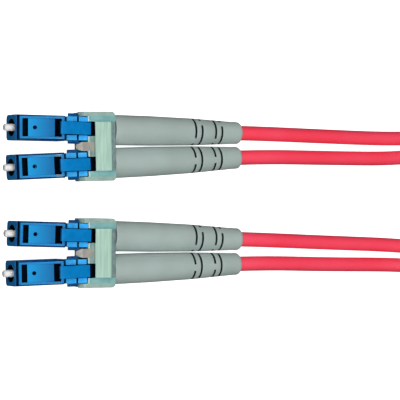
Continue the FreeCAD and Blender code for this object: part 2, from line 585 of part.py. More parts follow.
def make_clip():
    """The clip over the rears of two plugs, in the duplex frame, midway between the plugs."""
    body = new_body("duplex_clip")
    room = "(Sizes.cover_width / 2 + Sizes.cover_slack)"
    inner = f"(Sizes.plug_pitch / 2 + {room})"
    half_width = f"({inner} + Sizes.clip_wall)"
    core = f"(Sizes.plug_pitch / 2 - {room})"
    arm = "(Sizes.middle_arm / 2)"
    shell = rectangle(new_sketch(body, "shell", "YZ_Plane", CLIP_FRONT),
                      f"-{half_width}", half_width, f"-{CLIP_BOTTOM}", ROOF_TOP)
    pad(body, shell, "Sizes.clip_length")
    rear = value(CLIP_REAR)
    fillet(body, "Sizes.clip_round", lambda edge: (
        runs_along(edge, UP) and abs(edge.BoundBox.XMax - rear) < 1e-6))
    band_top = f"{ROOF_TOP} + Sizes.band_rise"
    band = outline(new_sketch(body, "band", "XZ_Plane"), [
        (BAND_FRONT, f"{ROOF_TOP} - Sizes.clip_roof / 2"), (BAND_FRONT, band_top),
        (f"{CLIP_REAR} - Sizes.band_slope", band_top),
        (CLIP_REAR, ROOF_TOP), (CLIP_REAR, f"{ROOF_TOP} - Sizes.clip_roof / 2")])
    pad(body, band, "Sizes.band_width", symmetric=True)
    root = f"{CLIP_FRONT} + Sizes.clip_wall"
    arms = new_sketch(body, "arms", "XY_Plane", f"{ROOF_TOP} - Sizes.arm_thick")
    rectangle(arms, ARM_FRONT, root, inner, half_width)
    rectangle(arms, ARM_FRONT, root, f"-{half_width}", f"-{inner}")
    pad(body, arms, "Sizes.arm_thick")
    slope_arms(body, "arm_slope", ARM_FRONT, half_width)
    wedge = outline(new_sketch(body, "wedge", "XY_Plane", f"{ROOF_TOP} - Sizes.arm_thick"), [
        (WEDGE_FRONT, "-Sizes.wedge_tip / 2"), (f"{WEDGE_FRONT} + Sizes.wedge_length", f"-{arm}"),
        (root, f"-{arm}"), (root, arm), (f"{WEDGE_FRONT} + Sizes.wedge_length", arm),
        (WEDGE_FRONT, "Sizes.wedge_tip / 2")])
    pad(body, wedge, "Sizes.arm_thick")
    slope_arms(body, "wedge_slope", WEDGE_FRONT, arm)
    channels = new_sketch(body, "channels", "YZ_Plane", CLIP_FRONT)
    for left, right in ((core, inner), (f"-{inner}", f"-{core}")):
        rectangle(channels, left, right, f"-{CHANNEL_HALF}", CHANNEL_HALF)
    pocket(body, channels, "Sizes.clip_length", forwards=True)
    notches = new_sketch(body, "notches", "XY_Plane", f"{CHANNEL_HALF}")
    notch_half = "(Sizes.trigger_width / 2 + 2 * Sizes.trigger_gap)"
    for middle in ("Sizes.plug_pitch / 2", "-Sizes.plug_pitch / 2"):
        rectangle(notches, CLIP_FRONT, BAND_FRONT,
                  f"{middle} - {notch_half}", f"{middle} + {notch_half}")
    pocket(body, notches, "Sizes.clip_roof", forwards=True)
    return body


def make_coil():
    """The outer shape of the coiled cords, turned about the coil's upright axis."""
    body = new_body("cord_coil")
    section = rectangle(new_sketch(body, "section", "XZ_Plane"),
                        COIL_INNER, COIL_OUTER, "Sizes.tie_thick", COIL_TOP)
    revolve(body, section, axis="V_Axis")
    fillet(body, "Sizes.coil_round", lambda edge: isinstance(edge.Curve, Part.Circle))
    return body


def make_tie():
    """The strap round the coil: a block that the coil passes through."""
    body = new_body("coil_tie")
    block = rectangle(new_sketch(body, "block", "XZ_Plane"),
                      f"{COIL_INNER} - 2 * Sizes.tie_thick", f"{COIL_OUTER} + Sizes.tie_thick",
                      "0", f"{COIL_TOP} + Sizes.tie_thick")
    pad(body, block, "Sizes.tie_width", symmetric=True)
    section = rectangle(new_sketch(body, "section", "XZ_Plane"),
                        COIL_INNER, COIL_OUTER, "Sizes.tie_thick", COIL_TOP)
    groove(body, section, axis="V_Axis")
    return body


def turned(angle, centre, axis=UP):
    """The placement that turns by an angle in degrees about an axis through a centre."""
    return FreeCAD.Placement(V(), FreeCAD.Rotation(axis, angle), centre)


def copy_of(master, label, placement):
    """A further body with the master's shape, at a place of its own."""
    body = new_body(label)
    clone = body.newObject("PartDesign::FeatureBase", f"{label}_shape")
    clone.BaseFeature = master
    body.Placement = placement
    return body


def corner_arc(before, corner, after):
    """The arc round a corner of a route: its two ends, a point on it, its radius and half turn."""
    to_corner, from_corner = corner - before, after - corner
    half_turn = to_corner.getAngle(from_corner) / 2
    trim = 0.45 * min(to_corner.Length, from_corner.Length)
    start = corner - V(to_corner).normalize() * trim
    end = corner + V(from_corner).normalize() * trim
    radius = trim / math.tan(half_turn)
    inward = ((start + end) / 2 - corner).normalize()
    middle = corner + inward * (radius / math.cos(half_turn) - radius)
    return start, middle, end, radius, half_turn


def make_cord(label, route):
    """A cord's tube: straight runs joined by arcs tangent to them."""
    points = [V(*point) for point in route]
    edges, radii = [], []
    length, last = 0.0, points[0]
    for i in range(1, len(points) - 1):
        start, middle, end, radius, half_turn = corner_arc(*points[i - 1:i + 2])
        edges += [Part.LineSegment(last, start).toShape(), Part.Arc(start, middle, end).toShape()]
        length += (start - last).Length + 2 * radius * half_turn
        radii.append(round(radius, 1))
        last = end
    edges.append(Part.LineSegment(last, points[-1]).toShape())
    length += (points[-1] - last).Length
    radius = value("Sizes.cord_radius")
    mouth = Part.Wire(Part.Circle(points[0], points[1] - points[0], radius).toShape())
    tube = Part.Wire(edges).makePipeShell([mouth], True, False)
    expected = math.pi * radius ** 2 * length
    print(f"{label}: length {length:.1f}, radii {radii}, volume {tube.Volume / expected:.4f}")
    if abs(tube.Volume / expected - 1) > 0.01:
        raise RuntimeError(f"{label}: the tube's volume doesn't match its length")
    cord = doc.addObject("Part::Feature", label)
    cord.Label = label
    cord.Shape = tube
    return cord


def build():
    """Makes every piece, and returns the bodies that are written out."""
    masters = {
        "housing": make_housing(), "latch": make_latch(), "trigger": make_trigger(),
        "rear_cover": make_rear_cover(), "ferrule": make_ferrule(),
        "ferrule_flange": make_ferrule_flange(), "spring": make_spring(),
        "back_post": make_back_post(), "crimp_sleeve": make_crimp_sleeve(),
        "fibre_buffer": make_fibre_buffer(), "boot": make_boot(),
    }
    clip = make_clip()
    centre_x = (value(BOOT_REAR) - value("Sizes.ferrule_reach")) / 2
    to_floor = V(-centre_x, 0, value(CLIP_BOTTOM))
    turn_place = value("Sizes.splay_centre")
    pieces = []
    for duplex, (across, turn) in DUPLEXES.items():
        seat = FreeCAD.Placement(to_floor + V(0, across, 0), FreeCAD.Rotation())
        seat = seat * turned(turn, V(turn_place, 0, 0))
        pieces.append(copy_of(clip, f"{duplex}_clip", seat))
        for plug, side in (("1", 1), ("2", -1)):
            shift = V(-PLUG_ADVANCE[plug], side * value("Sizes.plug_pitch / 2"), 0)
            splay = turned(-side * value("Sizes.splay"), V(turn_place, 0, 0))
            place = seat * FreeCAD.Placement(shift, FreeCAD.Rotation()) * splay
            for name, master in masters.items():
                roll = turned(BOOT_ROLL[plug] if name == "boot" else 0, V(), ALONG)
                pieces.append(copy_of(master, f"{duplex}{plug}_{name}", place * roll))
    at_coil = FreeCAD.Placement(V(value("Sizes.coil_centre"), 0, 0), FreeCAD.Rotation())
    for name, master in (("cord_coil", make_coil()), ("coil_tie", make_tie())):
        master.Label = f"{name}_drawn"
        pieces.append(copy_of(master, name, at_coil))
    pieces += [make_cord(f"{plug}_cord", route) for plug, route in ROUTES.items()]
    doc.recompute()
    return pieces


def check(pieces):
    """Stops if any object failed, or any piece isn't one valid solid."""
    for made in doc.Objects:
        if {"Invalid", "Error"} & set(made.State):
            raise RuntimeError(f"{made.Label} is {made.State}")
    for piece in pieces:
        shape = piece.Shape
        if shape.isNull() or not shape.isValid() or len(shape.Solids) != 1:
            raise RuntimeError(f"{piece.Label} isn't one valid solid")


solids = build()
check(solids)
os.makedirs("parts", exist_ok=True)
for solid in solids:
    solid.Shape.exportStep(f"parts/{solid.Label}.step")
print(f"{len(solids)} solids")
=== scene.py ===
"""Looks of a duplex fibre patch lead: moulded plugs in clips, tapered boots and two wound cords."""

import json
import logging
import math
from collections.abc import Callable
from dataclasses import dataclass, field
from enum import Enum

import bpy
from mathutils import Matrix, Vector


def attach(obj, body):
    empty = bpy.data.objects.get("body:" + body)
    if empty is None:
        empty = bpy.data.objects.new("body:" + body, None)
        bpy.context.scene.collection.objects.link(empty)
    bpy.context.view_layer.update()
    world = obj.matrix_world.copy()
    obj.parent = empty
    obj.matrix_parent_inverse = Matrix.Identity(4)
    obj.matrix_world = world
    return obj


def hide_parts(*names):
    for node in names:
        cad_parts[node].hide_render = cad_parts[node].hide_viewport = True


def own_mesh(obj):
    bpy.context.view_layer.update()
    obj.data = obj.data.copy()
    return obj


log = logging.getLogger("patch_lead")
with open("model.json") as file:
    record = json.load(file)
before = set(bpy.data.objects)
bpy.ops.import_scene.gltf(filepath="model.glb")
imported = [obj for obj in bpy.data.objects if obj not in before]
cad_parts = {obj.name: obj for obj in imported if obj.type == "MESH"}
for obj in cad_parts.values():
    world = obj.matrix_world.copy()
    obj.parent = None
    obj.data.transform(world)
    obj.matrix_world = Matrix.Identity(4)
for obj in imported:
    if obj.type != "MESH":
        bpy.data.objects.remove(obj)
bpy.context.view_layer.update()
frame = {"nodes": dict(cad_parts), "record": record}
MM = 0.001
Point = tuple[float, float, float]
Colour = tuple[float, float, float, float]
# Further, in millimetres, than any piece reaches from its plug's or connector's axis.
FAR = 9.0
# A face stands upright if the up part of its normal is under the first, and is level over the
# second. A face looks along an axis if that part of its normal is over the third.
UPRIGHT, LEVEL, FACING = 0.5, 0.6, 0.9
# How much finer detail the noise has in the mottle and in the grain.
MOTTLE_DETAIL, GRAIN_DETAIL = 3.0, 2.0
# The noise values at which the mottle is all its low shade, and all its high one.
MOTTLE_LOW, MOTTLE_HIGH = 0.35, 0.65
# The width of one band of the wave texture at scale 1.
WAVE_BAND = 0.314


class Duplex(Enum):
    """The two ends of the lead."""

    FAR = "a"
    NEAR = "b"


class Side(Enum):
    """The two plugs of a duplex connector."""

    LEFT = "1"
    RIGHT = "2"


class Element(Enum):
    """What a selection on a mesh is made of, by the name that the mesh has for it."""

    FACE = "polygons"
    EDGE = "edges"


PLUGS = [f"{end.value}{side.value}" for end in Duplex for side in Side]


# ---------------------------------------------------------------- finishes

def linear(code: str) -> Colour:
    """Turn an sRGB hex code into a linear colour.

    Args:
        code: Six hex digits, two each for red, green and blue.

    Returns:
        The colour's linear red, green, blue and alpha.
    """
    # The constants are those that define sRGB.
    parts = [int(code[i:i + 2], 16) / 255 for i in (0, 2, 4)]
    red, green, blue = (
        part / 12.92 if part <= 0.04045 else ((part + 0.055) / 1.055) ** 2.4 for part in parts)
    return red, green, blue, 1.0


def add_node(tree: bpy.types.NodeTree, kind: str, settings: dict | None = None,
             links: dict | None = None) -> bpy.types.Node:
    """Add a node with its settings and what feeds it.

    Args:
        tree: The material's node tree.
        kind: The node's type, without the "ShaderNode" in front.
        settings: Socket values by name or number, or properties by name.
        links: Output sockets by the name or number of the input that they feed.

    Returns:
        The new node.
    """
    made = tree.nodes.new(f"ShaderNode{kind}")
    for name, setting in (settings or {}).items():
        if isinstance(name, str) and hasattr(made, name):
            setattr(made, name, setting)
        else:
            made.inputs[name].default_value = setting
    for name, source in (links or {}).items():
        tree.links.new(source, made.inputs[name])
    return made


@dataclass(frozen=True)
class Finish:
    """A real material, with a fine unevenness of its colour, its gloss and its surface.

    Lengths are in millimetres. The mottle is the slow change of colour that a moulded or
    extruded piece has, and the grain is its surface texture. The flow says how much faster
    the mottle changes along X, Y and Z, as where plastic ran into the mould. The depth is how
    far light travels under the surface, and the spread is how far the roughness strays.
    """

    name: str
    low: str
    high: str
    roughness: float
    ior: float = 1.5
    metallic: float = 0.0
    mottle: float = 2.5
    flow: Point = (1.0, 1.0, 1.0)
    grain: float = 0.25
    relief: float = 0.004
    spread: float = 0.06
    subsurface: float = 0.0
    depth: float = 0.6
    sheen: float = 0.0
    sheen_roughness: float = 0.4
    specular: float = 0.5

    def material(self) -> bpy.types.Material:
        """Return the material, made on the first call."""
        known = bpy.data.materials.get(self.name)
        return known or self.build()

    def build(self) -> bpy.types.Material:
        """Make the material's nodes.

        Returns:
            The new material.
        """
        made = bpy.data.materials.new(self.name)
        made.use_nodes = True
        tree = made.node_tree
        shader = tree.nodes["Principled BSDF"]
        for socket, setting in {
                "IOR": self.ior, "Metallic": self.metallic,
                "Subsurface Weight": self.subsurface, "Subsurface Radius": (1.0, 1.0, 1.0),
                "Subsurface Scale": self.depth * MM, "Sheen Weight": self.sheen,
                "Sheen Roughness": self.sheen_roughness,
                "Specular IOR Level": self.specular}.items():
            shader.inputs[socket].default_value = setting
        place = add_node(tree, "TexCoord").outputs["Object"]
        self.colour(tree, shader, place)
        height = self.height(tree, place)
        gloss = add_node(
            tree, "MapRange",
            {"To Min": self.roughness - self.spread, "To Max": self.roughness + self.spread},
            {"Value": height})
        tree.links.new(gloss.outputs["Result"], shader.inputs["Roughness"])
        bump = add_node(tree, "Bump", {"Strength": 1.0, "Distance": self.relief * MM},
                        {"Height": height})
        tree.links.new(bump.outputs["Normal"], shader.inputs["Normal"])
        return made

    def colour(self, tree: bpy.types.NodeTree, shader: bpy.types.Node,
               place: bpy.types.NodeSocket) -> None:
        """Feed the base colour with a slow change between the two shades.

        Args:
            tree: The material's node tree.
            shader: The material's shader.
            place: The output that gives the place on the piece.
        """
        run = add_node(tree, "Mapping", {"Scale": self.flow}, {"Vector": place})
        slow = add_node(
            tree, "TexNoise", {"Scale": 1 / (self.mottle * MM), "Detail": MOTTLE_DETAIL},
            {"Vector": run.outputs["Vector"]})
        self.tint(tree, shader, slow.outputs["Fac"],
                  ((MOTTLE_LOW, self.low), (MOTTLE_HIGH, self.high)))

    def tint(self, tree: bpy.types.NodeTree, shader: bpy.types.Node,
             factor: bpy.types.NodeSocket, stops: tuple[tuple[float, str], ...]) -> None:
        """Feed the base colour with shades that a factor mixes.

        Args:
            tree: The material's node tree.
            shader: The material's shader.
            factor: The output that mixes them.
            stops: For each shade, the factor at which it is pure, and its hex code.
        """
        shade = add_node(tree, "ValToRGB", None, {"Fac": factor})
        for stop, (position, code) in enumerate(stops):
            shade.color_ramp.elements[stop].position = position
            shade.color_ramp.elements[stop].color = linear(code)
        tree.links.new(shade.outputs["Color"], shader.inputs["Base Color"])

    def height(self, tree: bpy.types.NodeTree, place: bpy.types.NodeSocket
               ) -> bpy.types.NodeSocket:
        """Make the fine surface texture.

        Args:
            tree: The material's node tree.
            place: The output that gives the place on the piece.

        Returns:
            The output that gives its height, from 0 to 1.
        """
        fine = add_node(
            tree, "TexNoise", {"Scale": 1 / (self.grain * MM), "Detail": GRAIN_DETAIL},
            {"Vector": place})
        return fine.outputs["Fac"]


@dataclass(frozen=True)
class StrapFinish(Finish):
    """A napped woven strap: fine fuzz over ribs that run along the strap.

    The rib is one rib's width in millimetres, the waver is how unevenly the ribs run, and the
    rib share is how high they stand against the fuzz.
    """

    rib: float = 0.8
    waver: float = 0.6
    rib_share: float = 0.55

    def height(self, tree: bpy.types.NodeTree, place: bpy.types.NodeSocket
               ) -> bpy.types.NodeSocket:
        """Make the ribs, one thread bundle apart across the strap, with fuzz over them.

        Args:
            tree: The material's node tree.
            place: The output that gives the place on the piece.

        Returns:
            The output that gives their height, from 0 to 1.
        """
        fuzz = Finish.height(self, tree, place)
        ribs = add_node(
            tree, "TexWave",
            {"bands_direction": "Y", "Scale": WAVE_BAND / (self.rib * MM),
             "Distortion": self.waver},
            {"Vector": place})
        both = add_node(tree, "Math", {"operation": "MULTIPLY_ADD", 1: self.rib_share},
                        {0: ribs.outputs["Fac"], 2: fuzz})
        return both.outputs["Value"]


@dataclass(frozen=True)
class ShadeRampFinish(Finish):
    """A finish painted from a bright shade to a deep one along X: painted shade, deeper rearwards.

    The ends are places along X in millimetres. The unevenness is how far the noise shifts the
    change, and up to the factor called bright the shade is the bright one.
    """

    lit_end: float = 0.0
    shaded_end: float = 1.0
    unevenness: float = 0.25
    bright: float = 0.12

    def colour(self, tree: bpy.types.NodeTree, shader: bpy.types.Node,
               place: bpy.types.NodeSocket) -> None:
        """Feed the base colour with painted shade that deepens along X, a little uneven.

        Args:
            tree: The material's node tree.
            shader: The material's shader.
            place: The output that gives the place on the piece.
        """
        slow = add_node(
            tree, "TexNoise", {"Scale": 1 / (self.mottle * MM), "Detail": MOTTLE_DETAIL},
            {"Vector": place})
        parts = add_node(tree, "SeparateXYZ", None, {"Vector": place})
        along = add_node(tree, "MapRange",
                         {"From Min": self.lit_end * MM, "From Max": self.shaded_end * MM},
                         {"Value": parts.outputs["X"]})
        uneven = add_node(tree, "Math", {"operation": "MULTIPLY_ADD", 1: self.unevenness},
                          {0: slow.outputs["Fac"], 2: along.outputs["Result"]})
        self.tint(tree, shader, uneven.outputs["Value"],
                  ((self.bright, self.high), (1.0, self.low)))


# PBT polyester, injection moulded in a polished tool: deep clear blue with a soft gloss.
BLUE_PBT = Finish("blue PBT polyester, moulded", "0076ba", "0281c9", 0.36, specular=0.22,
                  mottle=1.2)
# The same in the latch's panel, painted darker rearwards: painted shade from the trigger above.
PANEL_SHADE_PBT = ShadeRampFinish("blue PBT polyester, tapering panel", "006ca8", "0594d6", 0.36,
                           specular=0.14, lit_end=-20.0, shaded_end=-15.3)
# The same on the block tops of the rear cover: a painted highlight, brighter still, faintly
# mottled.
TOP_LIT_BLUE_PBT = Finish("blue PBT polyester, thin wall", "2ba6f4", "45b6fb", 0.4, specular=0.14,
                       mottle=0.8, grain=0.2, relief=0.01)
# The same, painted darker in the ears, the housing's sides and the nose step: painted shade.
SIDE_SHADE_BLUE_PBT = Finish("blue PBT polyester, thick wall", "053d70", "0b5590", 0.36,
                        specular=0.14, mottle=0.9)
# The rounded edges of the latch and the blocks, painted brightest: a painted highlight.
EDGE_HIGHLIGHT_PBT = Finish("blue PBT polyester, polished edge", "2da0dc", "45b2ea", 0.25, specular=0.3)
# The same on the rails' rear tops, where they bend: painted pale, a painted highlight.
RAIL_GLINT_PBT = Finish("blue PBT polyester, pale where it flexes", "7fbce6", "b9dcf3", 0.3,
                    mottle=0.5, specular=0.4)
# The same in hollows, windows and gaps: rough, without gloss, painted nearly black as painted
# shade.
RECESS_SHADE_PBT = Finish("blue PBT polyester, rough inside", "00050e", "000914", 0.8, specular=0.04)
# The same PBT uncoloured: milky and faintly green, with streaks where it ran into the mould.
NATURAL_PBT = Finish("natural PBT polyester, moulded", "a6c7b9", "bddccc", 0.42, mottle=1.6,
                     flow=(4.0, 0.25, 1.0), subsurface=1.0, depth=1.0, specular=0.35)
# Thin natural PBT, with the blue covers under it showing through: a pale teal.
NATURAL_OVER_BLUE = Finish("natural PBT polyester over blue", "74a9ab", "88bab8", 0.42,
                           mottle=1.6, subsurface=0.6, depth=0.8, specular=0.35)
# The same where the covers' shaded sides lie under it: duller.
NATURAL_OVER_SHADE = Finish("natural PBT polyester over shade", "6c8a86", "86a49e", 0.42,
                            mottle=1.0, subsurface=0.5, depth=0.8, specular=0.35)
# Natural PBT in the thick outer walls and arms: greyer, as less light comes back out.
NATURAL_WALL = Finish("natural PBT polyester, thick wall", "8fa8a0", "a2b9b0", 0.42, mottle=1.6,
                      subsurface=0.6, depth=1.0, specular=0.35)
# The same in the sloped rear: painted shade, darker where the dark gap behind it shows through.
NATURAL_REAR_SHADE = Finish("natural PBT polyester over a gap", "66807f", "829995", 0.42, mottle=0.7,
                      flow=(1.0, 0.7, 1.0), subsurface=0.3, specular=0.35)
# The same in the middle arm: warm grey.
NATURAL_MIDDLE_ARM = Finish("natural PBT polyester, by the gate", "90968e", "a8a096", 0.42, mottle=1.1,
                      subsurface=0.6, depth=0.8, specular=0.35)
# The same in that arm's thin tip: paler.
NATURAL_TIP = Finish("natural PBT polyester, thin tip", "b9b6ac", "d0c9be", 0.42, mottle=1.1,
                     subsurface=0.3, depth=0.5, specular=0.35)
# The clip's edges and arms' fronts, painted almost white: a painted highlight and painted light.
NATURAL_HIGHLIGHT = Finish("natural PBT polyester, lit edge", "c4e6dd", "d8f6ee", 0.3, specular=0.5,
                      subsurface=1.0, depth=1.0)
# Thermoplastic elastomer in a spark-eroded tool: grey, matte, with a fine even grain.
GREY_TPE = Finish("grey TPE elastomer, moulded", "9caba6", "a4b3af", 0.62, mottle=6.0,
                  grain=0.18, relief=0.012, spread=0.04)
# The same deep in the bend slots: painted dark, a painted shade where no light reaches.
SLOT_SHADE_TPE = Finish("grey TPE elastomer, inside a slot", "2f3b3a", "3a4846", 0.8, specular=0.1)
# Halogen-free jacket, extruded: saturated pink red, satin, drawn smooth along its length.
RED_LSZH = Finish("pink red LSZH jacket, extruded", "ff3a55", "ff4561", 0.4, mottle=9.0,
                  grain=0.5, relief=0.005, specular=1.0)
# Zirconia, ground and polished: dense white, with a glassy shine and a little light inside.
ZIRCONIA = Finish("zirconia ceramic, polished", "f2efec", "fbf9f6", 0.3, ior=2.1, spread=0.02,
                  relief=0.0005, subsurface=1.0, depth=0.9, specular=0.35)
# Nickel over turned brass: warm grey metal with fine turning marks.
NICKEL = Finish("nickel plated brass, turned", "aaa69c", "b8b4aa", 0.28, metallic=1.0,
                mottle=0.8, flow=(6.0, 0.5, 0.5))
# Stainless spring wire, drawn: grey and faintly streaked.
SPRING_WIRE = Finish("stainless spring wire, drawn", "9b9da0", "adafb2", 0.3, metallic=1.0,
                     mottle=0.5)
# Acrylate buffer coat: soft off-white.
BUFFER_COAT = Finish("acrylate buffer coat", "ddd8c8", "e8e4d6", 0.5)
# Nylon hook-and-loop strap, woven and napped: dark grey, dull, with a soft light edge.
NYLON_STRAP = StrapFinish("nylon strap, woven and napped", "2b2e31", "3a3d40", 0.85, mottle=0.6,
                          grain=0.12, relief=0.05, spread=0.05, sheen=0.5)

NODE_FINISHES = {
    "housing": (BLUE_PBT, "blue_plastic"), "latch": (BLUE_PBT, "blue_plastic"),
    "rear_cover": (BLUE_PBT, "blue_plastic"), "trigger": (BLUE_PBT, "blue_plastic"),
    "ferrule": (ZIRCONIA, "ceramic"), "ferrule_flange": (NICKEL, "nickel_brass"),
    "spring": (SPRING_WIRE, "spring_steel"), "back_post": (NICKEL, "nickel_brass"),
    "crimp_sleeve": (NICKEL, "nickel_brass"), "fibre_buffer": (BUFFER_COAT, "fibre_coat"),
    "boot": (GREY_TPE, "boot_rubber"), "clip": (NATURAL_PBT, "clip_plastic"),
}


@dataclass(frozen=True)
class Region:
    """The faces of a piece that have a finish of their own.

    Places are in millimetres from the middle of the nose face: rearwards, across to either
    side, and up. The radius is the greatest distance from the plug's axis. Upright, topside
    and edges each keep the region to faces that are upright, face up, or round an edge.
    """

    finish: Finish
    low: Point
    high: Point
    radius: float = math.inf
    upright: bool = False
    topside: bool = False
    edges: bool = False

    def holds(self, place: Point, normal: Point, rounded: bool) -> bool:
        """Say whether a face belongs to the region.

        Args:
            place: The face's centre.
            normal: The way that it faces.
            rounded: Whether it is part of a rounded edge.

        Returns:
            Whether the place is inside the region, on a face of the kinds that it keeps to.
        """
        rear, across, up = place[0], abs(place[1]), place[2]
        inside = all(
            low <= at <= high for low, at, high in zip(self.low, (rear, across, up), self.high))
        return (inside and math.hypot(across, up) < self.radius
                and (abs(normal[2]) < UPRIGHT or not self.upright)
                and (normal[2] > LEVEL or not self.topside)
                and (rounded or not self.edges))


# For each kind of piece, the first region that holds a face gives its finish.
REGIONS = {
    "housing": (
        Region(RECESS_SHADE_PBT, (0.08, 0.0, -FAR), (9.5, FAR, FAR), radius=1.6),
        Region(RECESS_SHADE_PBT, (0.26, 0.0, 1.7), (9.5, 2.04, 2.2)),
        Region(SIDE_SHADE_BLUE_PBT, (0.03, 0.0, 1.7), (0.26, FAR, 2.2)),
        Region(SIDE_SHADE_BLUE_PBT, (0.65, 1.98, 1.2), (9.5, FAR, FAR)),
    ),
    "latch": (
        Region(RECESS_SHADE_PBT, (1.0, 0.0, 0.0), (2.19, 1.63, FAR), upright=True),
        Region(RECESS_SHADE_PBT, (6.85, 0.0, 0.0), (8.1, 1.63, FAR), upright=True),
        Region(RECESS_SHADE_PBT, (2.9, 0.0, 0.0), (3.8, 0.38, FAR), upright=True),
        Region(RECESS_SHADE_PBT, (3.2, 0.0, 2.3), (3.55, 0.1, 2.5)),
        Region(PANEL_SHADE_PBT, (2.1, 0.0, 0.0), (6.95, 1.63, FAR)),
        Region(RAIL_GLINT_PBT, (7.0, 1.64, 2.0), (8.2, FAR, FAR), topside=True),
        Region(EDGE_HIGHLIGHT_PBT, (0.6, 0.0, 2.0), (8.5, FAR, FAR), topside=True, edges=True),
    ),
    "rear_cover": (
        Region(EDGE_HIGHLIGHT_PBT, (9.2, 1.0, 2.6), (13.6, 2.12, FAR), edges=True),
        Region(TOP_LIT_BLUE_PBT, (9.2, 1.0, 2.6), (13.6, 2.12, FAR), topside=True),
        Region(SIDE_SHADE_BLUE_PBT, (9.2, 2.12, 0.0), (12.1, FAR, FAR)),
        Region(RECESS_SHADE_PBT, (9.2, 0.0, 2.0), (19.2, 1.21, 2.69)),
        Region(RECESS_SHADE_PBT, (11.4, 0.0, 2.0), (11.82, 2.11, 2.69)),
    ),
    "boot": (
        Region(SLOT_SHADE_TPE, (34.7, 0.0, -FAR), (42.2, FAR, FAR), radius=2.05),
    ),
    "clip": (
        Region(RECESS_SHADE_PBT, (13.5, 1.8, 2.2), (14.8, 4.45, 3.3), upright=True),
        Region(NATURAL_HIGHLIGHT, (11.2, 0.0, 1.0), (12.5, 0.86, 2.9), upright=True),
        Region(NATURAL_HIGHLIGHT, (12.0, 4.4, 1.0), (12.2, 6.4, 2.9), upright=True),
        Region(NATURAL_TIP, (11.2, 0.0, 1.8), (12.1, 0.8, 2.9)),
        Region(NATURAL_HIGHLIGHT, (13.4, 0.8, 2.5), (13.75, 5.4, FAR), topside=True),
        Region(NATURAL_HIGHLIGHT, (11.4, 0.0, 2.3), (13.8, FAR, FAR), edges=True),
        Region(NATURAL_MIDDLE_ARM, (11.2, 0.0, 1.0), (14.6, 0.8, 3.0)),
        Region(NATURAL_OVER_SHADE, (13.5, 0.8, 2.8), (14.8, 1.85, 3.0), topside=True),
        Region(NATURAL_OVER_BLUE, (13.5, 4.3, 2.8), (18.8, 5.4, 3.0), topside=True),
        Region(NATURAL_REAR_SHADE, (17.9, 0.0, 2.8), (19.2, 4.35, FAR)),
        Region(NATURAL_WALL, (11.4, 5.35, -FAR), (19.2, FAR, FAR)),
    ),
}
# Lines where a piece's faces are parted, in millimetres across it and along it.
SEAMS = {
    # The cut at 13.75 rearwards bounds the roof's painted highlight.
    "clip": {"across": (-5.4, -1.825, -0.785, 0.785, 1.825, 5.4), "rearwards": (13.75,)},
    # The rails' painted highlight lies between these cuts.
    "latch": {"rearwards": (7.0, 8.2)},
    # The nose step's painted shade ends at this cut.
    "housing": {"rearwards": (0.25,)},
}


# ---------------------------------------------------------------- mesh helpers

def deselect() -> None:
    """Leave object mode with nothing selected."""
    if bpy.context.object and bpy.context.object.mode != "OBJECT":
        bpy.ops.object.mode_set(mode="OBJECT")
    bpy.ops.object.select_all(action="DESELECT")


def pick(piece: bpy.types.Object) -> None:
    """Make a piece the only one selected, and the active one.

    Args:
        piece: The piece.
    """
    deselect()
    piece.select_set(True)
    bpy.context.view_layer.objects.active = piece


def body_of(node: str) -> str:
    """Name the body that a CAD node belongs to."""
    bodies = frame["record"]["behaviour"]["bodies"]
    return next(name for name, nodes in bodies.items() if node in nodes)


def dress(piece: bpy.types.Object, finish: Finish, body: str) -> None:
    """Give a piece its material and the body that it rides on.

    Args:
        piece: The finished piece.
        finish: What it is made of.
        body: The CAD body that it moves with.
    """
    piece.data.materials.clear()
    piece.data.materials.append(finish.material())
    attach(piece, body)
    log.info("%s rides on %s", piece.name, body)


@dataclass(frozen=True)
class Seat:
    """Where a plug or a duplex connector stands: the middle of its nose, and rearwards."""

    nose: Vector
    rearwards: Vector

    @classmethod
    def of(cls, node: str) -> "Seat":
        """Read the seat of the plug or the connector that a node is part of.

        Args:
            node: The CAD node's name.

        Returns:
            The seat, from the mount at the plug's or the connector's front.
        """
        owner = node.split("_", 1)[0]
        end = "ferrule_tip" if len(owner) > 1 else "duplex_port"
        mount = next(
            item for item in frame["record"]["mounts"] if item["name"] == f"{owner}_{end}")
        return cls(Vector(mount["pos_m"]), -Vector(mount["axis"]))

    @property
    def across(self) -> Vector:
        """Give the level direction across the plug."""
        return Vector((-self.rearwards.y, self.rearwards.x, 0.0))

    def turned(self, way: Vector) -> Point:
        """Give a direction's parts rearwards, across and up."""
        return way.dot(self.rearwards), way.dot(self.across), way.z

    def local(self, place: Vector) -> Point:
        """Give a place in millimetres rearwards, across and up from the nose."""
        return self.turned((place - self.nose) / MM)


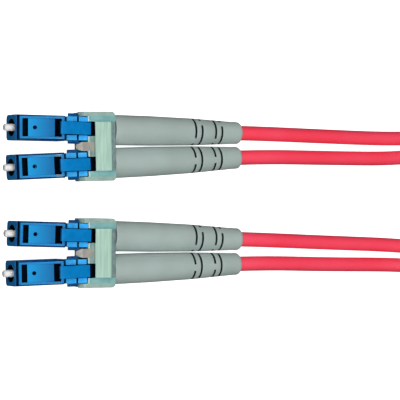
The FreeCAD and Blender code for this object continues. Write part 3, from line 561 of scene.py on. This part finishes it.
@dataclass
class MouldedPieces:
    """The rigid pieces of the plugs and the clips, with the small radii that a mould leaves.

    Points nearer to each other than the weld become one, and so do faces that turn less than
    same_plane. Edges sharper than sharp are rounded, and those under smooth are shaded as one.
    """

    edge_radius: float = 0.07 * MM
    edge_segments: int = 2
    edge_slot: int = 1
    weld: float = 0.001 * MM
    same_plane: float = math.radians(0.5)
    sharp: float = math.radians(32)
    smooth: float = math.radians(30)
    rounded: tuple[str, ...] = ("housing", "latch", "rear_cover", "trigger", "boot", "clip")

    def build(self) -> None:
        """Round the outer pieces' edges, and finish all the pieces."""
        for node, shown in frame["nodes"].items():
            kind = node.split("_", 1)[1]
            if kind not in NODE_FINISHES or kind == FloatSprings.kind:
                continue
            finish, slot = NODE_FINISHES[kind]
            if kind in self.rounded:
                piece = self.round_edges(node, kind, shown)
                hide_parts(node)
                edges = [face.material_index == self.edge_slot for face in piece.data.polygons]
                dress(piece, finish, body_of(node))
                self.part_regions(piece, node, kind, edges)
            else:
                shown.data.materials.clear()
                shown.data.materials.append(finish.material())

    def round_edges(self, node: str, kind: str, shown: bpy.types.Object) -> bpy.types.Object:
        """Copy a node as one welded mesh and round its sharp edges.

        Args:
            node: The CAD node's name.
            kind: The node's name without its plug.
            shown: The CAD node's object.

        Returns:
            The rounded copy, with the rounded faces in the edges' material slot.
        """
        piece = bpy.data.objects.new(f"{node}_moulded", shown.data.copy())
        bpy.context.scene.collection.objects.link(piece)
        piece.data.materials.clear()
        for finish in (BLUE_PBT, EDGE_HIGHLIGHT_PBT):
            piece.data.materials.append(finish.material())
        pick(piece)
        bpy.ops.object.mode_set(mode="EDIT")
        bpy.ops.mesh.select_all(action="SELECT")
        bpy.ops.mesh.remove_doubles(threshold=self.weld)
        bpy.ops.mesh.dissolve_limited(angle_limit=self.same_plane)
        seat = Seat.of(node)
        for way, offsets in SEAMS.get(kind, {}).items():
            normal = getattr(seat, way)
            for offset in offsets:
                bpy.ops.mesh.select_all(action="SELECT")
                bpy.ops.mesh.bisect(plane_co=seat.nose + normal * offset * MM, plane_no=normal)
        bpy.ops.object.mode_set(mode="OBJECT")
        bevel = piece.modifiers.new("mould radius", "BEVEL")
        bevel.width = self.edge_radius
        bevel.segments = self.edge_segments
        bevel.limit_method = "ANGLE"
        bevel.angle_limit = self.sharp
        bevel.material = self.edge_slot
        bpy.ops.object.modifier_apply(modifier=bevel.name)
        bpy.ops.object.shade_smooth_by_angle(angle=self.smooth)
        flat = piece.modifiers.new("flat faces stay flat", "WEIGHTED_NORMAL")
        flat.keep_sharp = True
        bpy.ops.object.modifier_apply(modifier=flat.name)
        return piece

    def part_regions(self, piece: bpy.types.Object, node: str, kind: str,
                     edges: list[bool]) -> None:
        """Give a piece's regions their finishes.

        Args:
            piece: The piece, dressed as most of it is.
            node: The CAD node that it stands for.
            kind: The node's name without its plug.
            edges: For each face, whether it is part of a rounded edge.
        """
        seat = Seat.of(node)
        regions = REGIONS.get(kind, ())
        finishes = list(dict.fromkeys(region.finish for region in regions))
        for finish in finishes:
            piece.data.materials.append(finish.material())
        for face, rounded in zip(piece.data.polygons, edges):
            place, normal = seat.local(face.center), seat.turned(face.normal)
            found = next((r for r in regions if r.holds(place, normal, rounded)), None)
            face.material_index = finishes.index(found.finish) + 1 if found else 0


@dataclass
class FloatSprings:
    """The springs behind the ferrules, each copied into a piece of its own."""

    kind: str = "spring"
    motion: str = "ferrule_float"

    def build(self) -> None:
        """Put a copy of the spring in each plug."""
        for plug in PLUGS:
            self.wind(f"{plug}_{self.kind}")

    def wind(self, node: str) -> None:
        """Copy a spring into a piece of its own, and dress it.

        Args:
            node: The CAD node's name.
        """
        piece = bpy.data.objects.new(f"{node}_wound", frame["nodes"][node].data.copy())
        bpy.context.scene.collection.objects.link(piece)
        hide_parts(node)
        finish, slot = NODE_FINISHES[self.kind]
        dress(piece, finish, body_of(node))
        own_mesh(piece)


# ---------------------------------------------------------------- cords

@dataclass
class Coil:
    """The wound middle of the cords: each spirals in on its lower layer and out on its upper.

    Lengths are in millimetres. Steps are the control points to a turn, the layer is how far a
    cord climbs between its two layers, and the ramp is the share of its turns that this takes.
    """

    centre: float = 94.55
    inner: float = 11.05
    outer: float = 15.9
    turns: float = 3.5
    steps: int = 14
    layer: float = 5.5
    ramp: float = 0.14

    def points(self, height: float) -> list[Point]:
        """List one cord's control points round the coil, in millimetres.

        Args:
            height: Height of the cord's centre at the start of the coil.

        Returns:
            The points, clockwise from the +Y side to the -Y side.
        """
        count = int(self.turns * self.steps)
        out = []
        for i in range(count + 1):
            travelled = i / count
            angle = math.radians(90 - 360 * self.turns * travelled)
            inward = 1 - abs(2 * travelled - 1)
            radius = self.outer + (self.inner - self.outer) * inward
            # The control points lie outside the turn that they draw.
            radius /= math.cos(math.pi / self.steps)
            rise = (travelled - 0.5) / self.ramp + 0.5
            lift = self.layer * min(max(rise, 0.0), 1.0)
            out.append((self.centre + radius * math.cos(angle), radius * math.sin(angle),
                        height + lift))
        return out


@dataclass
class PatchCords:
    """Two simplex cords, each from a boot of one connector through the coil to the other.

    The length is in metres and the rest in millimetres. Facets say how finely a cord is drawn,
    both round it and along it.
    """

    radius: float = 1.375
    length: float = 0.5
    # The centre of the lower cord in the coil. The other cord lies on it.
    lowest: float = 1.875
    facets: int = 6
    # The plugs that each cord joins, and the solids that it replaces besides their cords.
    pairs: tuple[tuple[str, str, tuple[str, ...]], ...] = (
        ("a2", "b1", ()), ("a1", "b2", ("cord_coil",)))
    coil: Coil = field(default_factory=Coil)
    # Control points in millimetres, from the crimp inside each boot to the coil.
    leads: dict[str, list[Point]] = field(default_factory=lambda: {
        "a1": [
            (-1.45, 12.646, 3.05), (13.55, 12.578, 3.07), (28.55, 12.51, 3.05),
            (43.55, 12.25, 1.75), (60.55, 11.98, 1.43), (70.05, 12.75, 2.3),
            (78.05, 14.45, 4.15), (84.3, 15.55, 4.75),
        ],
        "a2": [
            (-1.45, 6.717, 3.05), (13.55, 7.435, 3.07), (28.55, 8.153, 3.05),
            (43.55, 8.1, 1.75), (60.55, 8.1, 1.43), (69.55, 9.4, 1.43),
            (77.55, 12.45, 1.55), (82.7, 14.25, 1.7),
        ],
        "b1": [
            (-1.45, -6.54, 3.05), (13.55, -7.017, 3.07), (28.55, -7.493, 3.05),
            (43.55, -8.2, 1.75), (60.55, -8.9, 1.6), (69.55, -9.9, 2.7),
            (77.55, -12.45, 4.7), (82.7, -14.25, 6.1),
        ],
        "b2": [
            (-1.45, -12.468, 3.05), (13.55, -12.159, 3.07), (28.55, -11.85, 3.05),
            (43.55, -12.42, 1.75), (60.55, -12.74, 1.6), (70.05, -13.5, 4.25),
            (78.05, -14.6, 7.75), (84.3, -15.55, 9.6),
        ],
    })

    def build(self) -> None:
        for level, (first, last, extra) in enumerate(self.pairs):
            height = self.lowest + 2 * self.radius * level
            route = [*self.leads[first], *self.coil.points(height), *reversed(self.leads[last])]
            cord = self.draw(f"{first}_{last}_jacket", route)
            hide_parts(f"{first}_cord", f"{last}_cord", *extra)
            dress(cord, RED_LSZH, "plugs")

    def draw(self, name: str, route: list[Point]) -> bpy.types.Object:
        """Draw a round cord along a smooth spline.

        Args:
            name: The piece's name.
            route: Control points in millimetres.

        Returns:
            The cord.
        """
        line = bpy.data.curves.new(name, "CURVE")
        line.dimensions = "3D"
        line.bevel_depth = self.radius * MM
        line.bevel_resolution = self.facets
        line.resolution_u = self.facets
        line.use_fill_caps = True
        spline = line.splines.new("NURBS")
        spline.points.add(len(route) - 1)
        for point, place in zip(spline.points, route):
            point.co = (*(Vector(place) * MM), 1.0)
        spline.order_u = 3
        spline.use_endpoint_u = True
        cord = bpy.data.objects.new(name, line)
        bpy.context.scene.collection.objects.link(cord)
        return cord


@dataclass
class CoilTie:
    """The hook-and-loop strap round the coil's strands, with its end pressed down outside.

    Lengths are in millimetres. Inside gives the loop's inner size. The end share is the pressed
    end's thickness against the strap's, and the end drop is how far below the middle it lies.
    """

    centre: Point = (108.37, 0.0, 6.0)
    inside: Point = (5.52, 5.0, 11.0)
    corner: float = 1.3
    thick: float = 0.5
    end_length: float = 6.6
    end_share: float = 0.9
    end_drop: float = 0.4
    corner_segments: int = 6
    edge_radius: float = 0.12
    edge_segments: int = 3
    smooth: float = math.radians(40)
    node: str = "coil_tie"

    def build(self) -> None:
        """Make the strap and its end as one piece."""
        loop = self.loop()
        end = self.end()
        pick(loop)
        end.select_set(True)
        bpy.ops.object.join()
        loop.name = "hook_and_loop_strap"
        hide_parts(self.node)
        dress(loop, NYLON_STRAP, "plugs")

    def box(self, size: Point, centre: Point) -> bpy.types.Object:
        """Add a box in edit mode, placed in its mesh.

        Args:
            size: Its sides in millimetres.
            centre: Its centre in millimetres.

        Returns:
            The new box.
        """
        deselect()
        bpy.ops.mesh.primitive_cube_add(size=1.0, location=(0, 0, 0))
        made = bpy.context.object
        bpy.ops.object.mode_set(mode="EDIT")
        bpy.ops.mesh.select_all(action="SELECT")
        bpy.ops.transform.resize(value=Vector(size) * MM, center_override=(0, 0, 0))
        bpy.ops.transform.translate(value=Vector(centre) * MM)
        bpy.ops.mesh.select_all(action="DESELECT")
        bpy.ops.object.mode_set(mode="OBJECT")
        return made

    def choose(self, made: bpy.types.Object, part: Element,
               wanted: Callable[[bpy.types.MeshPolygon | bpy.types.MeshEdge], bool]) -> None:
        """Select some faces or edges, and go to edit mode.

        Args:
            made: The object to work on.
            part: Which of the two.
            wanted: Says whether a face or an edge is chosen.
        """
        bpy.context.tool_settings.mesh_select_mode = (
            False, part is Element.EDGE, part is Element.FACE)
        for item in getattr(made.data, part.value):
            item.select = wanted(item)
        bpy.ops.object.mode_set(mode="EDIT")

    def loop(self) -> bpy.types.Object:
        """Make the closed loop: a tube with rounded corners, as thick as the strap.

        Returns:
            The loop.
        """
        made = self.box(self.inside, self.centre)
        self.choose(made, Element.FACE, lambda face: abs(face.normal.y) > FACING)
        bpy.ops.mesh.delete(type="FACE")
        bpy.ops.object.mode_set(mode="OBJECT")

        def across(edge: bpy.types.MeshEdge) -> bool:
            """Say whether an edge runs across the strap."""
            first, last = (made.data.vertices[i].co for i in edge.vertices)
            return abs(first.y - last.y) > self.thick * MM

        self.choose(made, Element.EDGE, across)
        bpy.ops.mesh.bevel(offset=self.corner * MM, segments=self.corner_segments, affect="EDGES")
        bpy.ops.mesh.select_all(action="SELECT")
        bpy.ops.mesh.normals_make_consistent(inside=False)
        bpy.ops.object.mode_set(mode="OBJECT")
        self.finish(made, wall=True)
        return made

    def end(self) -> bpy.types.Object:
        """Make the strap's end, which lies on the loop's outer side, with rounded corners.

        Returns:
            The end.
        """
        end_thick = self.end_share * self.thick
        outer = self.centre[0] + self.inside[0] / 2 + self.thick + end_thick / 2
        made = self.box((end_thick, self.inside[1], self.end_length),
                        (outer, self.centre[1], self.centre[2] - self.end_drop))

        def through_corner(edge: bpy.types.MeshEdge) -> bool:
            """Say whether an edge runs through the end's thickness, at one of its corners."""
            first, last = (made.data.vertices[i].co for i in edge.vertices)
            return abs(first.x - last.x) > end_thick / 2 * MM

        self.choose(made, Element.EDGE, through_corner)
        bpy.ops.mesh.bevel(offset=self.corner * MM, segments=self.corner_segments, affect="EDGES")
        bpy.ops.object.mode_set(mode="OBJECT")
        self.finish(made, wall=False)
        return made

    def finish(self, made: bpy.types.Object, wall: bool) -> None:
        """Give a piece of strap its thickness and soft edges.

        Args:
            made: The piece.
            wall: Whether it is still a surface, without its thickness.
        """
        pick(made)
        steps = [("BEVEL", {"width": self.edge_radius * MM, "segments": self.edge_segments,
                            "limit_method": "ANGLE", "angle_limit": self.smooth})]
        if wall:
            steps.insert(0, ("SOLIDIFY", {"thickness": self.thick * MM, "offset": 1.0}))
        for kind, settings in steps:
            modifier = made.modifiers.new(kind.lower(), kind)
            for name, setting in settings.items():
                setattr(modifier, name, setting)
            bpy.ops.object.modifier_apply(modifier=modifier.name)
        bpy.ops.object.shade_smooth_by_angle(angle=self.smooth)


# ---------------------------------------------------------------- studio

@dataclass
class Studio:
    """A plain pale floor, one softbox, the air's own light and the camera.

    The aim and the distance are in millimetres, the tilt is in degrees from straight down, and
    the floor and the softbox are in metres.
    """

    aim: Point = (15.4, 0.0, 3.05)
    tilt: float = 28.644
    distance: float = 347.3
    lens: float = 168.83
    sensor: float = 36.0
    clip_end: float = 10.0
    floor_side: float = 2.5
    floor_height: float = -0.0002
    floor_shade: str = "f6f6f6"
    floor_roughness: float = 0.9
    floor_specular: float = 0.1
    key_place: Point = (-0.127, 0.0, 0.4)
    key_size: tuple[float, float] = (0.546, 1.6)
    key_power: float = 5.2
    world: float = 0.08
    table_glow: float = 0.98

    def build(self) -> None:
        """Set the floor, the light and the camera."""
        scene = bpy.context.scene
        scene.view_settings.view_transform = "Standard"
        deselect()
        bpy.ops.mesh.primitive_plane_add(size=self.floor_side, location=(0, 0, self.floor_height))
        floor = bpy.context.object
        floor.name = "studio_floor"
        paper = bpy.data.materials.new("white background paper")
        paper.use_nodes = True
        shader = paper.node_tree.nodes["Principled BSDF"]
        shader.inputs["Base Color"].default_value = linear(self.floor_shade)
        shader.inputs["Roughness"].default_value = self.floor_roughness
        shader.inputs["Specular IOR Level"].default_value = self.floor_specular
        shader.inputs["Emission Color"].default_value = (1, 1, 1, 1)
        shader.inputs["Emission Strength"].default_value = self.table_glow
        floor.data.materials.append(paper)
        # Like a product table lit from below, it shows no shadow. It lights nothing on it.
        floor.visible_diffuse = False
        floor.visible_glossy = False
        world = bpy.data.worlds.new("studio air")
        world.use_nodes = True
        world.node_tree.nodes["Background"].inputs["Color"].default_value = (1, 1, 1, 1)
        world.node_tree.nodes["Background"].inputs["Strength"].default_value = self.world
        scene.world = world
        self.lamp("softbox", self.key_place, self.key_size, self.key_power)
        self.camera()

    def lamp(self, name: str, place: Point, size: tuple[float, float], power: float) -> None:
        """Add a softbox that faces down.

        Args:
            name: The lamp's name.
            place: Where it hangs, in metres.
            size: Its sides along the connectors and across them, in metres.
            power: Its power in watts.
        """
        light = bpy.data.lights.new(name, "AREA")
        light.shape = "RECTANGLE"
        light.size, light.size_y = size
        light.energy = power
        lamp = bpy.data.objects.new(name, light)
        lamp.location = place
        bpy.context.scene.collection.objects.link(lamp)

    def camera(self) -> None:
        """Add the camera, above the connectors and towards their ferrules."""
        lens = bpy.data.cameras.new("camera")
        lens.lens = self.lens
        lens.sensor_width = self.sensor
        lens.clip_end = self.clip_end
        camera = bpy.data.objects.new("camera", lens)
        tilt = math.radians(self.tilt)
        back = Vector((-math.sin(tilt), 0.0, math.cos(tilt)))
        right = Vector((math.cos(tilt), 0.0, math.sin(tilt)))
        turn = Matrix((right, Vector((0, 1, 0)), back)).transposed()
        camera.matrix_world = Matrix.Translation(
            (Vector(self.aim) + back * self.distance) * MM) @ turn.to_4x4()
        bpy.context.scene.collection.objects.link(camera)
        bpy.context.scene.camera = camera


def main() -> None:
    """Build the lead's looks and the studio, in order."""
    logging.basicConfig(level=logging.INFO, format="%(message)s")
    MouldedPieces().build()
    FloatSprings().build()
    PatchCords().build()
    CoilTie().build()
    Studio().build()


if __name__ == "__main__":
    main()
